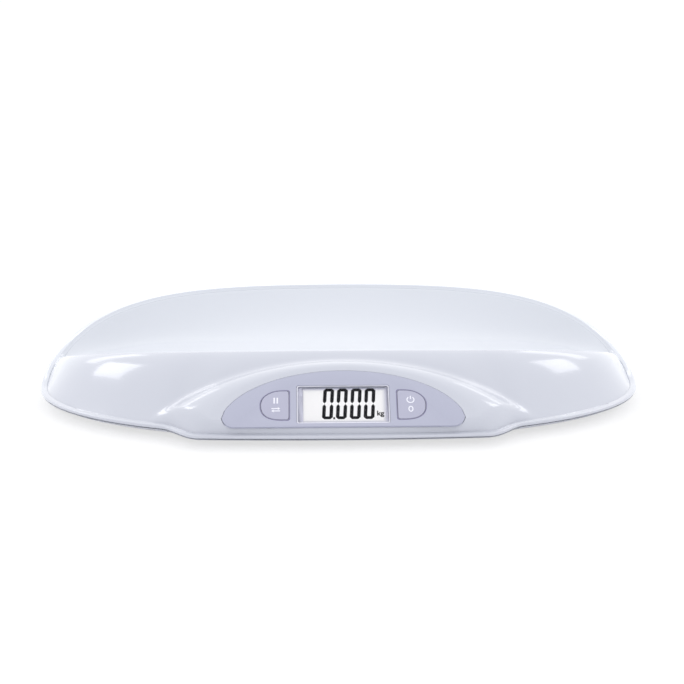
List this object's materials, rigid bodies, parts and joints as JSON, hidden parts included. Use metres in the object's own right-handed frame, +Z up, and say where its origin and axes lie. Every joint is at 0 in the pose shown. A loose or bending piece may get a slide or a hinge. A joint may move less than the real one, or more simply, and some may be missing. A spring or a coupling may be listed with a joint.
{
  "type": "digital baby weighing scale",
  "caption": "Low oval baby scale with a long trough tray, raised front crest, bulging display console with two press buttons, rubber feet and a hinged battery door",
  "frame": {"origin": "middle of the footprint on the surface that the feet stand on", "axes": "+X along the tray to the user's right, +Y from the console to the rear rim, +Z up"},
  "size_m": [0.55, 0.315, 0.0702],
  "materials": {
    "shell_gloss": "glossy white moulded plastic with a cool lavender tint",
    "cover_plastic": "fine satin moulded plastic",
    "panel_lavender": "satin lavender grey plastic",
    "lens_clear": "clear polished window",
    "display_glass": "bright backlit display",
    "backlight": "frosted light guide",
    "rubber_grey": "matte grey rubber",
    "board_green": "coated fibreglass board",
    "steel_plated": "zinc plated steel",
    "resin_black": "moulded black resin",
    "nylon_white": "natural nylon",
    "battery_jacket": "plain printed jacket, no words"
  },
  "bodies": {
    "scale_body": {"backlight_plate": "backlight", "battery_1": "battery_jacket", "battery_2": "battery_jacket", "battery_3": "battery_jacket", "battery_4": "battery_jacket", "board_screw_1": "steel_plated", "board_screw_2": "steel_plated", "board_screw_3": "steel_plated", "board_screw_4": "steel_plated", "bottom_cover": "cover_plastic", "circuit_board": "board_green", "contact_left_1": "steel_plated", "contact_left_2": "steel_plated", "contact_left_3": "steel_plated", "contact_left_4": "steel_plated", "contact_right_1": "steel_plated", "contact_right_2": "steel_plated", "contact_right_3": "steel_plated", "contact_right_4": "steel_plated", "contact_strip_lower": "rubber_grey", "contact_strip_upper": "rubber_grey", "controller_chip": "resin_black", "cover_screw_1": "steel_plated", "cover_screw_2": "steel_plated", "cover_screw_3": "steel_plated", "cover_screw_4": "steel_plated", "cover_screw_5": "steel_plated", "cover_screw_6": "steel_plated", "cover_screw_7": "steel_plated", "cover_screw_8": "steel_plated", "display_glass": "display_glass", "display_lens": "lens_clear", "display_panel": "panel_lavender", "foot_carrier_front_left": "cover_plastic", "foot_carrier_front_right": "cover_plastic", "foot_carrier_rear_left": "cover_plastic", "foot_carrier_rear_right": "cover_plastic", "foot_pad_front_left": "rubber_grey", "foot_pad_front_right": "rubber_grey", "foot_pad_rear_left": "rubber_grey", "foot_pad_rear_right": "rubber_grey", "hold_switch": "resin_black", "load_cell_front_left": "steel_plated", "load_cell_front_right": "steel_plated", "load_cell_rear_left": "steel_plated", "load_cell_rear_right": "steel_plated", "top_shell": "shell_gloss", "zero_switch": "resin_black"},
    "hold_key": {"hold_button": "panel_lavender", "hold_plunger": "nylon_white"},
    "zero_key": {"zero_button": "panel_lavender", "zero_plunger": "nylon_white"},
    "door": {"battery_door": "cover_plastic"}
  },
  "joints": [
    {"name": "hold_button_press", "type": "slide", "parent": "scale_body", "child": "hold_key", "axis": [0, 0.6157, -0.788], "range_m": [0, 0.0005], "stiffness_N_per_m": 900, "springref_m": -0.0009},
    {"name": "zero_button_press", "type": "slide", "parent": "scale_body", "child": "zero_key", "axis": [0, 0.6157, -0.788], "range_m": [0, 0.0005], "stiffness_N_per_m": 900, "springref_m": -0.0009},
    {"name": "battery_door_hinge", "type": "hinge", "parent": "scale_body", "child": "door", "pos_m": [0, 0.01205, 0.0072], "axis": [-1, 0, 0], "range_deg": [0, 80]}
  ]
}
